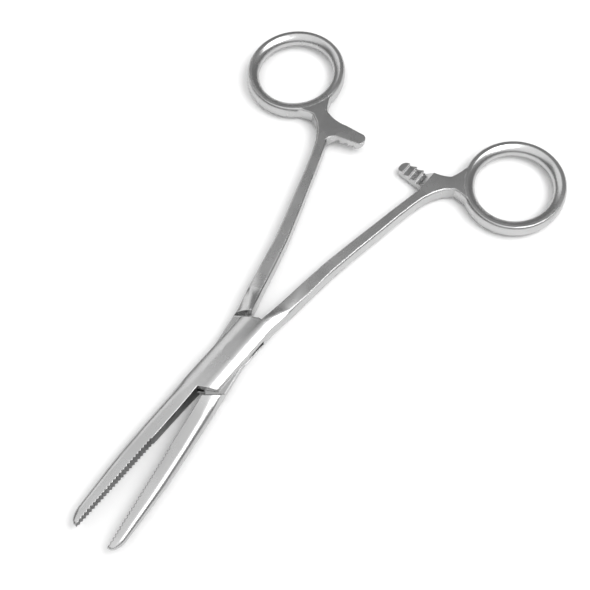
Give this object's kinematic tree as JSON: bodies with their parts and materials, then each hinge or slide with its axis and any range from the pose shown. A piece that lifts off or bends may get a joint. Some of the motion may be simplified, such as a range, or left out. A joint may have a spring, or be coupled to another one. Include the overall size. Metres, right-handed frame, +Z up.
{
  "type": "hemostat forceps",
  "caption": "Straight box-lock hemostat: two crossed arms with serrated jaws, finger rings and facing ratchet bars.",
  "frame": {"origin": "on the flat underside of the box, on the axis of the pivot rivet", "axes": "+X along the middle line between the open jaws towards the tips, +Z up and square to the flat of the box"},
  "size_m": [0.137, 0.0884, 0.0052],
  "materials": {
    "satin_steel": "satin",
    "rivet_steel": "satin"
  },
  "bodies": {
    "box_side": {"box_arm": "satin_steel", "pivot_rivet": "rivet_steel"},
    "tongue_side": {"tongue_arm": "satin_steel"}
  },
  "joints": [
    {"name": "lock_hinge", "type": "hinge", "parent": "box_side", "child": "tongue_side", "pos_m": [0, 0, 0.0026], "axis": [0, 0, 1], "range_deg": [-9.5, 40.5]}
  ]
}
